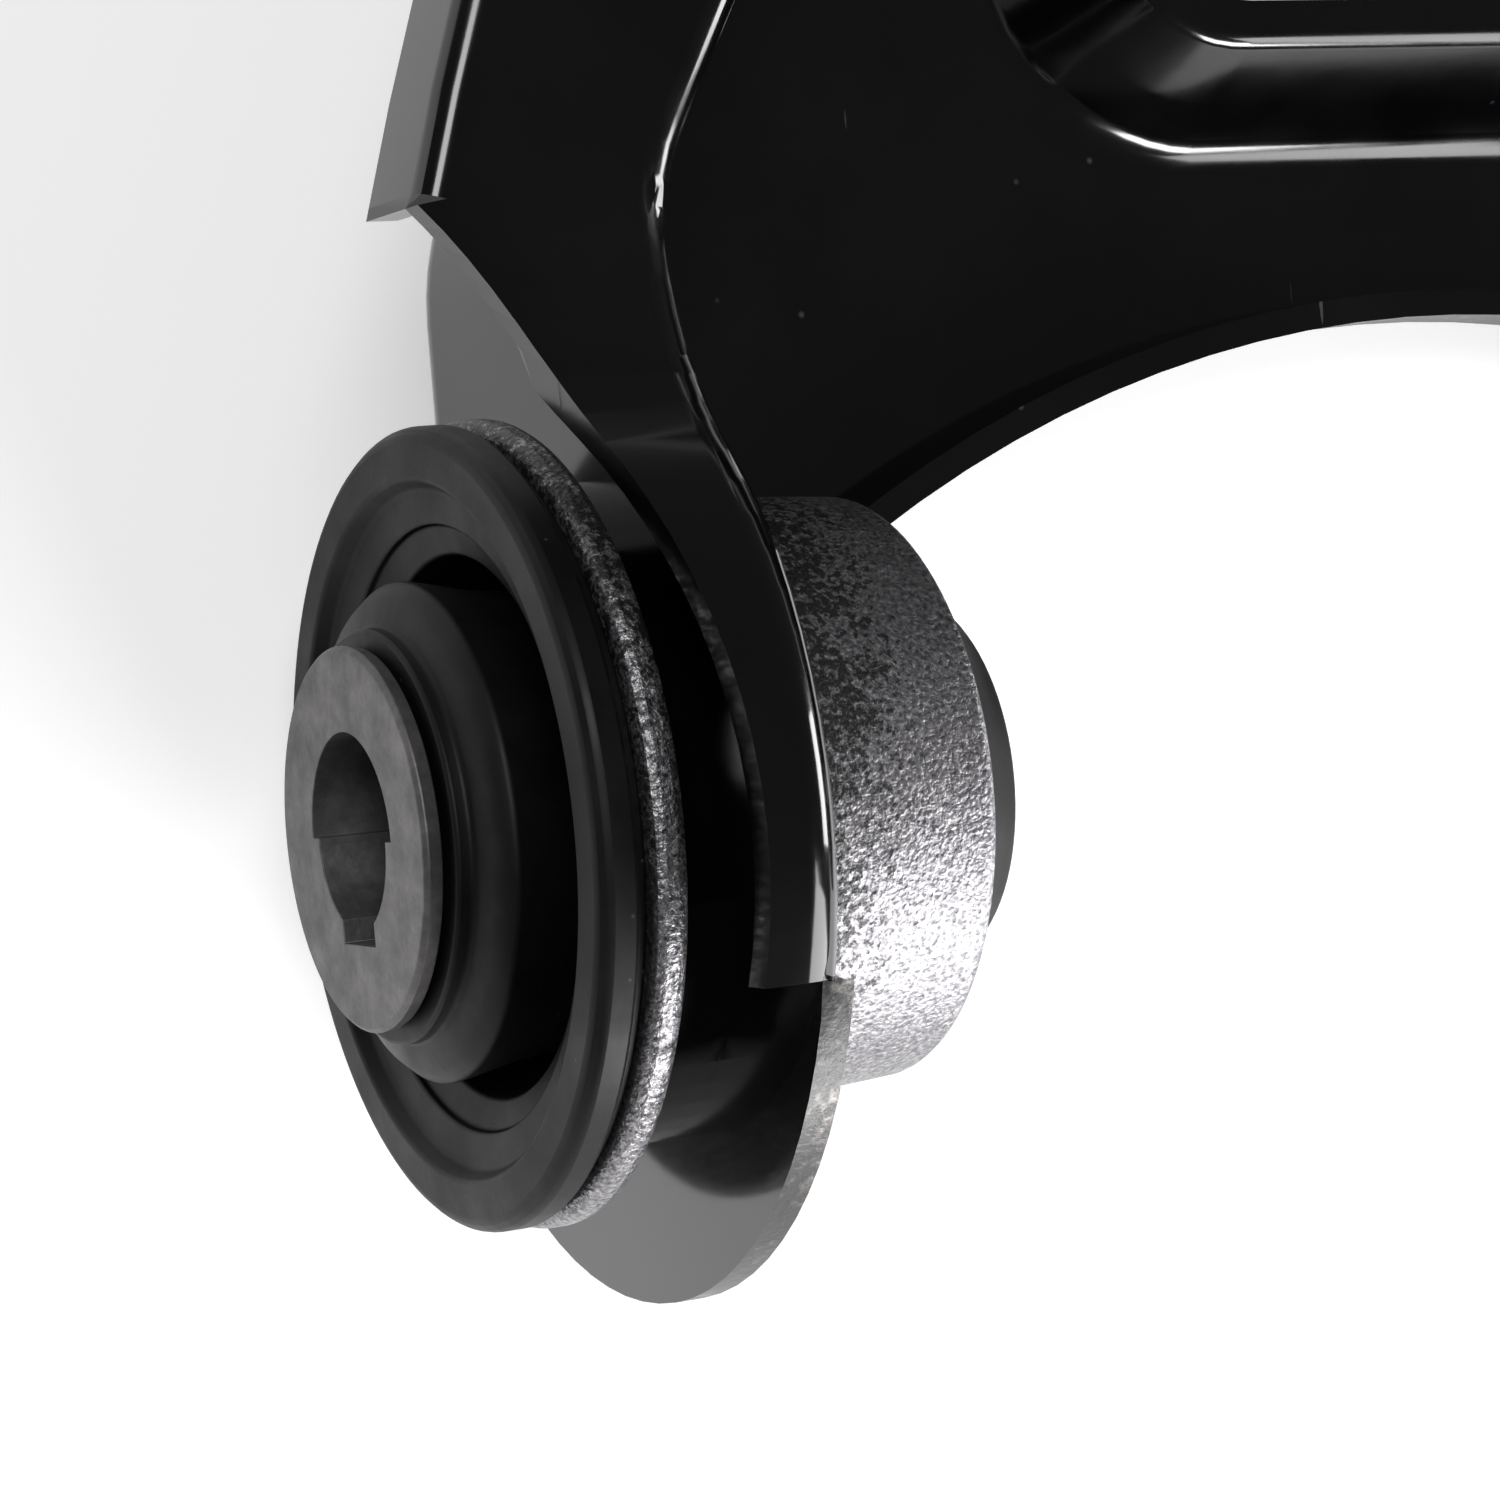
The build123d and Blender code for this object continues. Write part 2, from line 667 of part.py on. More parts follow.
with BuildPart() as mounting_nuts:
    with BuildSketch(Plane.XY.offset(plate_high + ball_z + washer_t)):
        with Locations((mid_x, ball_y)):
            with PolarLocations(bolt_circle_r, bolt_count, start_angle=bolt_start):
                RegularPolygon(hex_flat / 2, 6, major_radius=False)
                Circle(bolt_r + turn_gap, mode=Mode.SUBTRACT)
    extrude(amount=nut_height)
mounting_nuts.part.label = "mounting_nuts"

# ================= files, one per piece =================
export_step(pressed_arm.part, "parts/pressed_arm.step")
export_step(apex_doubler.part, "parts/apex_doubler.step")
export_step(front_outer_sleeve.part, "parts/front_outer_sleeve.step")
export_step(front_bush_rubber.part, "parts/front_bush_rubber.step")
export_step(front_inner_sleeve.part, "parts/front_inner_sleeve.step")
export_step(rear_outer_sleeve.part, "parts/rear_outer_sleeve.step")
export_step(rear_bush_rubber.part, "parts/rear_bush_rubber.step")
export_step(rear_inner_sleeve.part, "parts/rear_inner_sleeve.step")
export_step(ball_housing.part, "parts/ball_housing.step")
export_step(bearing_seat.part, "parts/bearing_seat.step")
export_step(housing_cap.part, "parts/housing_cap.step")
export_step(ball_stud.part, "parts/ball_stud.step")
export_step(dust_boot.part, "parts/dust_boot.step")
export_step(boot_base_clip.part, "parts/boot_base_clip.step")
export_step(boot_neck_ring.part, "parts/boot_neck_ring.step")
export_step(castle_nut.part, "parts/castle_nut.step")
export_step(cotter_pin.part, "parts/cotter_pin.step")
export_step(mounting_bolts.part, "parts/mounting_bolts.step")
export_step(lock_washers.part, "parts/lock_washers.step")
export_step(mounting_nuts.part, "parts/mounting_nuts.step")
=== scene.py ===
import json
import math

import bmesh
import bpy
import numpy as np
from mathutils import Matrix, Vector


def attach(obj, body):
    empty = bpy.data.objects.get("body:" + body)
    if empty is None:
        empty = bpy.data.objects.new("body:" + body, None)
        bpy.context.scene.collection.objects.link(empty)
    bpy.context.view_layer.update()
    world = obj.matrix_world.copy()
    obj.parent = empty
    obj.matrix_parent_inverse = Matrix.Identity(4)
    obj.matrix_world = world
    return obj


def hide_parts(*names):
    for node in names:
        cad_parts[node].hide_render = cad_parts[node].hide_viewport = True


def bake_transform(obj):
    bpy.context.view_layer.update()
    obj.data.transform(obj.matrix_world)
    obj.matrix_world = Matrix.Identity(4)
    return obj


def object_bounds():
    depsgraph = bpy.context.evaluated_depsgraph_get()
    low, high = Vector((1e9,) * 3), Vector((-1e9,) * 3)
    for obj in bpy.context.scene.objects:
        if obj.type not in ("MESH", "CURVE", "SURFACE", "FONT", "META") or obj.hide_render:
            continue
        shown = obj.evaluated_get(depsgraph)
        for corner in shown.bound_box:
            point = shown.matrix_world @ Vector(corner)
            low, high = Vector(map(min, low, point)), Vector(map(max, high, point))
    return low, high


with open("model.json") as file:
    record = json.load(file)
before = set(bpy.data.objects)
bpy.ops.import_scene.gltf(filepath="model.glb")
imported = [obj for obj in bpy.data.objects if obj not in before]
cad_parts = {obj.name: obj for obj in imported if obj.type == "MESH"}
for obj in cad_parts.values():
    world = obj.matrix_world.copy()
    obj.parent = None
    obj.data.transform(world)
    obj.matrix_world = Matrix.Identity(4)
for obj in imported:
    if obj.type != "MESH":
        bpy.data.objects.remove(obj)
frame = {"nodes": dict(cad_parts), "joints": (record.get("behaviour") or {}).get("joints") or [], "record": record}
cad_box = [list(corner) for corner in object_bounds()]
mm = 0.001

# ---- Pressed arm ----
# Deep-drawn low-carbon steel sheet, dipped in glossy black electrocoat after pressing.
# The draw leaves round bends on the ears and walls; the blanked edges stay square and rough.
edge_rounding = 0.35 * mm
ear_bend = 4.0 * mm
bend_cuts = 6
cut_limit_y = 70.0 * mm
ridge_bend = 2.2 * mm
ridge_steps = 5
shoulder_y = 48.9 * mm
ear_radius = 41.0 * mm
ear_back = 3.0 * mm
notch_y = -12.0 * mm
arch_radius = 128.0 * mm
arch_peak_y = 39.5 * mm
arch_centre_y = arch_peak_y - arch_radius
level_top = 19.5 * mm
hollow_radius = 28.0 * mm
hollow_cuts = 9
lift_height = 12.0 * mm
bend_angle = math.radians(34)
flat_angle = math.radians(0.6)
weld_distance = 0.002 * mm
cut_tolerance = 0.001 * mm
place_tolerance = 0.01 * mm
outline_tolerance = 0.15 * mm
skin_tolerance = 0.4 * mm
# limits on one part of a face's unit normal: its upward part on an upright face, a level one
# and the arch's edge, and its sideways part on the ear's edge
upright_tilt = 0.05
level_tilt = 0.95
arch_edge_tilt = 0.1
ear_edge_tilt = 0.2
ear_back_x = (-ear_back, frame["record"]["mounts"][1]["pos_m"][0] + ear_back)
middle_x = sum(ear_back_x) / 2


def merged_mesh(node):
    """A copy of a CAD piece's mesh with its triangles joined and its flat faces made whole."""
    mesh = frame["nodes"][node].data.copy()
    mesh.materials.clear()
    work = bmesh.new()
    work.from_mesh(mesh)
    bmesh.ops.remove_doubles(work, verts=work.verts, dist=weld_distance)
    bmesh.ops.dissolve_limit(work, angle_limit=flat_angle, verts=work.verts, edges=work.edges)
    work.to_mesh(mesh)
    work.free()
    return mesh


def finished_piece(mesh, node, body, rounding, materials):
    """Puts a mesh in the scene for a CAD node, with edge rounding, smooth bends, materials and a body."""
    mesh.shade_smooth()
    mesh.set_sharp_from_angle(angle=bend_angle)
    for material in materials:
        mesh.materials.append(material)
    piece = bpy.data.objects.new(node + "_finished", mesh)
    bpy.context.scene.collection.objects.link(piece)
    if rounding:
        bevel = piece.modifiers.new("edge rounding", "BEVEL")
        bevel.width = rounding
        bevel.segments = 2
        bevel.limit_method = "ANGLE"
        bevel.angle_limit = bend_angle
        bevel.use_clamp_overlap = True
    normals = piece.modifiers.new("flat faces stay flat", "WEIGHTED_NORMAL")
    normals.keep_sharp = True
    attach(piece, body)
    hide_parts(node)
    return piece


def linear(code):
    """A colour written as sRGB hex, as the linear values that a shader takes."""
    srgb = np.array([int(code[i : i + 2], 16) for i in (1, 3, 5)]) / 255
    value = np.where(srgb <= 0.04045, srgb / 12.92, ((srgb + 0.055) / 1.055) ** 2.4)
    return (*value.tolist(), 1.0)


def add_node(tree, kind, inputs=None, **settings):
    """Adds one shader node. Settings are its properties; an input is a value or another node's output."""
    made = tree.nodes.new(kind)
    for name, value in settings.items():
        if name == "stops":
            elements = made.color_ramp.elements
            while len(elements) < len(value):
                elements.new(0.5)
            for element, (position, code) in zip(elements, value):
                element.position = position
                element.color = linear(code)
        else:
            setattr(made, name, value)
    for name, value in (inputs or {}).items():
        if isinstance(value, bpy.types.NodeSocket):
            tree.links.new(value, made.inputs[name])
        else:
            made.inputs[name].default_value = value
    return made


def new_material(name):
    """An empty material: its node tree, its Object coordinates and its output node."""
    material = bpy.data.materials.new(name)
    material.use_nodes = True
    tree = material.node_tree
    tree.nodes.clear()
    place = add_node(tree, "ShaderNodeTexCoord").outputs["Object"]
    output = add_node(tree, "ShaderNodeOutputMaterial")
    return material, tree, place, output


# Electrocoat is a gloss film over black: a deep mirror to the eye, softened by an orange peel some 3 mm wide,
# with dust nibs about 0.4 mm across and a few short pale scuffs. Here and in the other materials, a pattern's
# size is written as a millimetre over how many repeats fit in it, where it isn't a round number.
nib_spacing = mm / 0.15
nib_reach = 0.06
nib_share_left_out = 0.55
peel_width = mm / 0.3
smudge_width = 25.0 * mm
scuff_sizes = (mm / 0.9, mm / 0.06, 5.0 * mm)
scuff_spacing = mm / 0.055
electrocoat, tree, place, output = new_material("gloss_black_electrocoat")
nib_cells = add_node(tree, "ShaderNodeTexVoronoi", {"Vector": place, "Scale": 1 / nib_spacing})
nibs = add_node(
    tree,
    "ShaderNodeValToRGB",
    {"Fac": nib_cells.outputs["Distance"]},
    stops=[(0.0, "#ffffff"), (nib_reach, "#000000")],
)
nib_choice = add_node(tree, "ShaderNodeSeparateColor", {"Color": nib_cells.outputs["Color"]})
nib_few = add_node(
    tree, "ShaderNodeMath", {0: nib_choice.outputs["Red"], 1: nib_share_left_out}, operation="GREATER_THAN"
)
nib_shown = add_node(
    tree, "ShaderNodeMath", {0: nibs.outputs["Color"], 1: nib_few.outputs[0]}, operation="MULTIPLY"
)
peel = add_node(tree, "ShaderNodeTexNoise", {"Vector": place, "Scale": 1 / peel_width, "Detail": 2.0})
smudge = add_node(
    tree, "ShaderNodeTexNoise", {"Vector": place, "Scale": 1 / smudge_width, "Detail": 5.0, "Roughness": 0.6}
)
gloss = add_node(
    tree,
    "ShaderNodeMapRange",
    {"Value": smudge.outputs["Fac"], "From Min": 0.35, "From Max": 0.75, "To Min": 0.10, "To Max": 0.22},
)
film = add_node(
    tree, "ShaderNodeValToRGB", {"Fac": smudge.outputs["Fac"]}, stops=[(0.35, "#030304"), (0.8, "#070708")]
)
# a scuff shows where the crests of a stretched noise meet those of a coarse one
scuff_place = add_node(
    tree,
    "ShaderNodeMapping",
    {"Vector": place, "Rotation": (0.3, 0.5, 0.8), "Scale": tuple(1 / size for size in scuff_sizes)},
)
scuff_lines = add_node(
    tree, "ShaderNodeTexNoise", {"Vector": scuff_place.outputs[0], "Scale": 1.0, "Detail": 1.0}
)
scuff_cells = add_node(
    tree, "ShaderNodeTexNoise", {"Vector": place, "Scale": 1 / scuff_spacing, "Detail": 1.0}
)
scuff_both = add_node(
    tree,
    "ShaderNodeMath",
    {0: scuff_lines.outputs["Fac"], 1: scuff_cells.outputs["Fac"]},
    operation="MULTIPLY",
)
scuffs = add_node(
    tree, "ShaderNodeValToRGB", {"Fac": scuff_both.outputs[0]}, stops=[(0.52, "#000000"), (0.535, "#ffffff")]
)
marks = add_node(
    tree, "ShaderNodeMath", {0: nib_shown.outputs[0], 1: scuffs.outputs["Color"]}, operation="MAXIMUM"
)
film_marked = add_node(
    tree,
    "ShaderNodeMix",
    {0: marks.outputs[0], 6: film.outputs["Color"], 7: linear("#3c3c3e")},
    data_type="RGBA",
)
peel_bump = add_node(
    tree, "ShaderNodeBump", {"Strength": 0.12, "Distance": 0.05 * mm, "Height": peel.outputs["Fac"]}
)
nib_bump = add_node(
    tree,
    "ShaderNodeBump",
    {
        "Strength": 0.5,
        "Distance": 0.06 * mm,
        "Height": marks.outputs[0],
        "Normal": peel_bump.outputs["Normal"],
    },
)
skin = add_node(
    tree,
    "ShaderNodeBsdfPrincipled",
    {
        "Base Color": film_marked.outputs[2],
        "Roughness": gloss.outputs["Result"],
        "Normal": nib_bump.outputs["Normal"],
        "Coat Weight": 0.15,
        "Coat Roughness": 0.06,
    },
)
tree.links.new(skin.outputs["BSDF"], output.inputs["Surface"])

# A blanked edge under thin paint is rough and dark, and grey metal glints between tear marks 1 mm apart.
tear_spacing = mm / 0.9
bare_patch_width = 6.25 * mm
blanked_edge, tree, place, output = new_material("thin_paint_over_blanked_steel")
tears = add_node(
    tree, "ShaderNodeTexNoise", {"Vector": place, "Scale": 1 / tear_spacing, "Detail": 4.0, "Roughness": 0.7}
)
patches = add_node(
    tree, "ShaderNodeTexNoise", {"Vector": place, "Scale": 1 / bare_patch_width, "Detail": 4.0}
)
bare = add_node(
    tree, "ShaderNodeMath", {0: tears.outputs["Fac"], 1: patches.outputs["Fac"]}, operation="ADD"
)
bare_map = add_node(
    tree, "ShaderNodeMapRange", {"Value": bare.outputs[0], "From Min": 1.0, "From Max": 1.22}
)
edge_colour = add_node(
    tree,
    "ShaderNodeMix",
    {0: bare_map.outputs["Result"], 6: linear("#101011"), 7: linear("#6b6866")},
    data_type="RGBA",
)
edge_metal = add_node(
    tree, "ShaderNodeMath", {0: bare_map.outputs["Result"], 1: 0.7}, operation="MULTIPLY"
)
edge_bump = add_node(
    tree, "ShaderNodeBump", {"Strength": 0.7, "Distance": 0.12 * mm, "Height": bare.outputs[0]}
)
skin = add_node(
    tree,
    "ShaderNodeBsdfPrincipled",
    {
        "Base Color": edge_colour.outputs[2],
        "Metallic": edge_metal.outputs[0],
        "Roughness": 0.38,
        "Normal": edge_bump.outputs["Normal"],
    },
)
tree.links.new(skin.outputs["BSDF"], output.inputs["Surface"])

arm_mesh = merged_mesh("pressed_arm")
work = bmesh.new()
work.from_mesh(arm_mesh)

# the level brim meets an ear's circle in a corner; the draw leaves a round hollow there instead,
# and the ear turns out into its rim through a bend, as the walls do
hollow_z = level_top + hollow_radius
hollow_y = math.sqrt((ear_radius + hollow_radius) ** 2 - hollow_z**2)
hollow_start = hollow_y * ear_radius / (ear_radius + hollow_radius)
cut_places = (notch_y, *np.linspace(hollow_start, hollow_y, hollow_cuts))
cuts = [((0, cut_y, 0), (0, 1, 0)) for cut_y in cut_places]
bend_steps = ear_bend * (1 - np.cos(np.linspace(0, np.pi / 2, bend_cuts)))[1:]
for back, outward in zip(ear_back_x, (-1, 1)):
    cuts += [((back + outward * step, 0, 0), (1, 0, 0)) for step in bend_steps]
for cut_point, cut_normal in cuts:
    centres = [(face, face.calc_center_median()) for face in work.faces]
    upper = [face for face, centre in centres if centre.z > 0 and centre.y < cut_limit_y]
    edges = {edge for face in upper for edge in face.edges}
    corners = {vertex for face in upper for vertex in face.verts}
    parts = upper + list(edges | corners)
    bmesh.ops.bisect_plane(work, geom=parts, plane_co=cut_point, plane_no=cut_normal, dist=cut_tolerance)


def bend_drop(depth):
    """How far a round bend lies below the rim, at a depth out from the ear's back: zero past it."""
    return ear_bend - math.sqrt(ear_bend**2 - (ear_bend - min(max(depth, 0.0), ear_bend)) ** 2)


def pressed_top(y, drop):
    """Height of the CAD pressing's top: the ear's circle, or the wall's bend where that is higher."""
    circle = math.sqrt(max(ear_radius**2 - y * y, 0.0))
    return max(circle, level_top - drop)


def drawn_top(y, drop):
    """Height of the drawn top, a drop inside the rim: circle, hollow and level edge run on smoothly."""
    if y > hollow_y:
        return level_top - drop
    if y > hollow_start * (1 - drop / ear_radius):
        return hollow_z - math.sqrt((hollow_radius + drop) ** 2 - (y - hollow_y) ** 2)
    return math.sqrt((ear_radius - drop) ** 2 - y * y)


for vertex in work.verts:
    x, y, z = vertex.co
    depth = max(ear_back_x[0] - x, x - ear_back_x[1])
    if z <= 0 or not notch_y - place_tolerance < y < hollow_y:
        continue
    drop = bend_drop(depth)
    on_skin = abs(z - pressed_top(y, drop)) < skin_tolerance
    if on_skin and depth > -place_tolerance:
        vertex.co.z = drawn_top(y, drop)
    elif y > hollow_start:
        vertex.co.z += (drawn_top(y, 0.0) - pressed_top(y, 0.0)) * min(z / lift_height, 1.0)


def on_ridge(edge):
    """True where the level brim turns down into its return flange, outside the shoulders."""
    ends = [vertex.co for vertex in edge.verts]
    level = all(abs(end.z - level_top) < place_tolerance and end.y > shoulder_y for end in ends)
    tilts = sorted(abs(face.normal.z) for face in edge.link_faces)
    return level and len(tilts) == 2 and tilts[0] < upright_tilt and tilts[1] > level_tilt


ridge_edges = [edge for edge in work.edges if on_ridge(edge)]
bmesh.ops.bevel(
    work,
    geom=ridge_edges,
    offset=ridge_bend,
    segments=ridge_steps,
    profile=0.5,
    affect="EDGES",
    clamp_overlap=False,
)
for face in work.faces:
    x, y, z = face.calc_center_median()
    from_arch = math.hypot(x - middle_x, y - arch_centre_y)
    from_bush = math.hypot(y, z)
    on_arch = abs(from_arch - arch_radius) < outline_tolerance and abs(face.normal.z) < arch_edge_tilt
    on_ear = abs(from_bush - ear_radius) < outline_tolerance and abs(face.normal.x) < ear_edge_tilt
    face.material_index = 1 if on_arch or (on_ear and y < notch_y) else 0
work.to_mesh(arm_mesh)
work.free()
finished_piece(arm_mesh, "pressed_arm", "arm", edge_rounding, [electrocoat, blanked_edge])

# ---- Doubler plate ----
# A ring of low-carbon steel plate that stiffens the arm's nose where the ball joint bolts on.
# It is blanked, spot-welded inside the pressing and painted with it.
doubler_mesh = merged_mesh("apex_doubler")
finished_piece(doubler_mesh, "apex_doubler", "arm", edge_rounding, [electrocoat])

# ---- Outer sleeves of the bushes ----
# Die-cast aluminium sleeves with a thrust flange, pressed into the arm's ears.
# The cast skin is left rough, and black overspray from the arm's coat fades out along it.
cast_rounding = 0.5 * mm
cast_grain = mm / 1.3
cast_pits = mm / 2.2
cast_clouds = mm / 0.26
overspray_reach = 19.0 * mm
overspray_at_ear = 0.26
overspray_at_reach = -0.16
# the black cover also grows from low to high Y, towards the web's side: the sleeve is darker towards +Y
darkening_low_y = -6 * mm
darkening_high_y = 26 * mm
darkening_towards_web = 0.22


def cast_material(name, ear_x):
    """Rough cast aluminium: a bright, grainy glitter, dulled to black by overspray near the ear and more towards
    +Y.

    The overspray thins out over its reach, on both sides of the ear, and on top of it the black cover grows
    towards +Y, the web's side.
    """
    material, tree, place, output = new_material(name)
    grain = add_node(
        tree,
        "ShaderNodeTexNoise",
        {"Vector": place, "Scale": 1 / cast_grain, "Detail": 3.0, "Roughness": 0.7},
    )
    pits = add_node(tree, "ShaderNodeTexNoise", {"Vector": place, "Scale": 1 / cast_pits, "Detail": 2.0})
    clouds = add_node(tree, "ShaderNodeTexNoise", {"Vector": place, "Scale": 1 / cast_clouds, "Detail": 4.0})
    axes = add_node(tree, "ShaderNodeSeparateXYZ", {"Vector": place})
    from_ear = add_node(tree, "ShaderNodeMath", {0: axes.outputs["X"], 1: ear_x}, operation="SUBTRACT")
    distance = add_node(tree, "ShaderNodeMath", {0: from_ear.outputs[0]}, operation="ABSOLUTE")
    along_sleeve = add_node(
        tree,
        "ShaderNodeMapRange",
        {
            "Value": distance.outputs[0],
            "From Min": 0.0,
            "From Max": overspray_reach,
            "To Min": overspray_at_ear,
            "To Max": overspray_at_reach,
        },
    )
    # darker towards +Y: the black cover grows across the sleeve towards the web's side
    darker_towards_web = add_node(
        tree,
        "ShaderNodeMapRange",
        {
            "Value": axes.outputs["Y"],
            "From Min": darkening_low_y,
            "From Max": darkening_high_y,
            "To Min": 0.0,
            "To Max": darkening_towards_web,
        },
    )
    sprayed_and_darker_towards_web = add_node(
        tree, "ShaderNodeMath", {0: along_sleeve.outputs[0], 1: darker_towards_web.outputs[0]}, operation="ADD"
    )
    faint_clouds = add_node(
        tree, "ShaderNodeMath", {0: clouds.outputs["Fac"], 1: 0.35}, operation="MULTIPLY"
    )
    speckle = add_node(
        tree, "ShaderNodeMath", {0: grain.outputs["Fac"], 1: faint_clouds.outputs[0]}, operation="ADD"
    )
    cover = add_node(tree, "ShaderNodeMath", {0: sprayed_and_darker_towards_web.outputs[0], 1: speckle.outputs[0]}, operation="ADD")
    paint = add_node(
        tree, "ShaderNodeMapRange", {"Value": cover.outputs[0], "From Min": 0.74, "From Max": 0.86}
    )
    metal_tone = add_node(
        tree,
        "ShaderNodeValToRGB",
        {"Fac": pits.outputs["Fac"]},
        stops=[(0.3, "#5c5b5f"), (0.55, "#8f8d90"), (0.8, "#bdbbbd")],
    )
    colour = add_node(
        tree,
        "ShaderNodeMix",
        {0: paint.outputs["Result"], 6: metal_tone.outputs["Color"], 7: linear("#131314")},
        data_type="RGBA",
    )
    bare = add_node(tree, "ShaderNodeMath", {0: 1.0, 1: paint.outputs["Result"]}, operation="SUBTRACT")
    height = add_node(
        tree, "ShaderNodeMath", {0: grain.outputs["Fac"], 1: pits.outputs["Fac"]}, operation="ADD"
    )
    bump = add_node(
        tree, "ShaderNodeBump", {"Strength": 0.9, "Distance": 0.16 * mm, "Height": height.outputs[0]}
    )
    skin = add_node(
        tree,
        "ShaderNodeBsdfPrincipled",
        {
            "Base Color": colour.outputs[2],
            "Metallic": bare.outputs[0],
            "Roughness": 0.42,
            "Normal": bump.outputs["Normal"],
        },
    )
    tree.links.new(skin.outputs["BSDF"], output.inputs["Surface"])
    return material


for end, ear_x in zip(("front", "rear"), ear_back_x):
    node = end + "_outer_sleeve"
    cast = cast_material(end + "_cast_aluminium_overspray", ear_x)
    finished_piece(merged_mesh(node), node, "arm", cast_rounding, [cast])

# ---- Bush rubber ----
# Natural rubber filled with carbon black, moulded between the two sleeves of each bush and bonded to both.
# It has a thrust ring, a deep round groove that lets it flex, and a hub over the inner sleeve.
rubber_rounding = 0.5 * mm
dust_width = mm / 0.07
rubber_grain = mm / 1.1
lint_spacing = mm / 0.26
# Moulded rubber is satin and near black to the eye, greyed by dust in soft clouds and by specks of lint.
bush_rubber, tree, place, output = new_material("moulded_natural_rubber")
dust = add_node(
    tree, "ShaderNodeTexNoise", {"Vector": place, "Scale": 1 / dust_width, "Detail": 6.0, "Roughness": 0.65}
)
fine = add_node(tree, "ShaderNodeTexNoise", {"Vector": place, "Scale": 1 / rubber_grain, "Detail": 2.0})
lint_cells = add_node(tree, "ShaderNodeTexVoronoi", {"Vector": place, "Scale": 1 / lint_spacing})
lint = add_node(
    tree,
    "ShaderNodeValToRGB",
    {"Fac": lint_cells.outputs["Distance"]},
    stops=[(0.0, "#ffffff"), (0.05, "#000000")],
)
tone = add_node(
    tree,
    "ShaderNodeValToRGB",
    {"Fac": dust.outputs["Fac"]},
    stops=[(0.35, "#040405"), (0.6, "#080809"), (0.82, "#151517")],
)
tone_lint = add_node(
    tree,
    "ShaderNodeMix",
    {0: lint.outputs["Color"], 6: tone.outputs["Color"], 7: linear("#4a4a4a")},
    data_type="RGBA",
)
satin = add_node(
    tree,
    "ShaderNodeMapRange",
    {"Value": dust.outputs["Fac"], "From Min": 0.3, "From Max": 0.7, "To Min": 0.42, "To Max": 0.62},
)
bump = add_node(
    tree, "ShaderNodeBump", {"Strength": 0.35, "Distance": 0.05 * mm, "Height": fine.outputs["Fac"]}
)
skin = add_node(
    tree,
    "ShaderNodeBsdfPrincipled",
    {
        "Base Color": tone_lint.outputs[2],
        "Roughness": satin.outputs["Result"],
        "Specular IOR Level": 0.22,
        "Normal": bump.outputs["Normal"],
    },
)
tree.links.new(skin.outputs["BSDF"], output.inputs["Surface"])

for node in ("front_bush_rubber", "rear_bush_rubber"):
    finished_piece(merged_mesh(node), node, "arm", rubber_rounding, [bush_rubber])

# ---- Inner sleeves of the bushes ----
# Extruded aluminium tubes with flared ends and a pressed key pocket, tumbled to a matt grey.
# Each is bonded into its rubber, and a bolt through it clamps it to the bracket that carries the arm.
sleeve_rounding = 0.3 * mm
mottle_width = mm / 0.22
tumbled_grain = mm / 1.5
# Tumbled aluminium is a mottled mid grey to the eye, with a dull sheen and no clear reflections.
sleeve_metal, tree, place, output = new_material("tumbled_aluminium")
mottle = add_node(
    tree, "ShaderNodeTexNoise", {"Vector": place, "Scale": 1 / mottle_width, "Detail": 5.0, "Roughness": 0.7}
)
grit = add_node(tree, "ShaderNodeTexNoise", {"Vector": place, "Scale": 1 / tumbled_grain, "Detail": 2.0})
tone = add_node(
    tree,
    "ShaderNodeValToRGB",
    {"Fac": mottle.outputs["Fac"]},
    stops=[(0.3, "#4c4b4c"), (0.55, "#676566"), (0.8, "#858384")],
)
bump = add_node(
    tree, "ShaderNodeBump", {"Strength": 0.5, "Distance": 0.08 * mm, "Height": grit.outputs["Fac"]}
)
skin = add_node(
    tree,
    "ShaderNodeBsdfPrincipled",
    {
        "Base Color": tone.outputs["Color"],
        "Metallic": 0.75,
        "Roughness": 0.52,
        "Normal": bump.outputs["Normal"],
    },
)
tree.links.new(skin.outputs["BSDF"], output.inputs["Surface"])

for end in ("front", "rear"):
    node = end + "_inner_sleeve"
    body = end + "_sleeve"
    finished_piece(merged_mesh(node), node, body, sleeve_rounding, [sleeve_metal])

# ---- Ball joint housing and cap ----
# A steel forging, turned to take the bearing seat and closed by a steel cap, both phosphated and oiled.
# Four bolts through its flange hold it to the arm.
turned_rounding = 0.3 * mm
stain_width = mm / 0.09
tone_stops = (0.36, 0.5, 0.66)


def steel_material(name, tones, grain_size, roughness, metallic):
    """Machined or plated steel: three tones mixed by a noise of the given grain size, and a bump."""
    material, tree, place, output = new_material(name)
    grain = add_node(
        tree,
        "ShaderNodeTexNoise",
        {"Vector": place, "Scale": 1 / grain_size, "Detail": 5.0, "Roughness": 0.6},
    )
    stain = add_node(tree, "ShaderNodeTexNoise", {"Vector": place, "Scale": 1 / stain_width, "Detail": 3.0})
    both = add_node(
        tree, "ShaderNodeMath", {0: grain.outputs["Fac"], 1: stain.outputs["Fac"]}, operation="ADD"
    )
    half = add_node(tree, "ShaderNodeMath", {0: both.outputs[0], 1: 0.5}, operation="MULTIPLY")
    tone = add_node(
        tree, "ShaderNodeValToRGB", {"Fac": half.outputs[0]}, stops=list(zip(tone_stops, tones))
    )
    bump = add_node(
        tree, "ShaderNodeBump", {"Strength": 0.4, "Distance": 0.04 * mm, "Height": grain.outputs["Fac"]}
    )
    skin = add_node(
        tree,
        "ShaderNodeBsdfPrincipled",
        {
            "Base Color": tone.outputs["Color"],
            "Metallic": metallic,
            "Roughness": roughness,
            "Normal": bump.outputs["Normal"],
        },
    )
    tree.links.new(skin.outputs["BSDF"], output.inputs["Surface"])
    return material


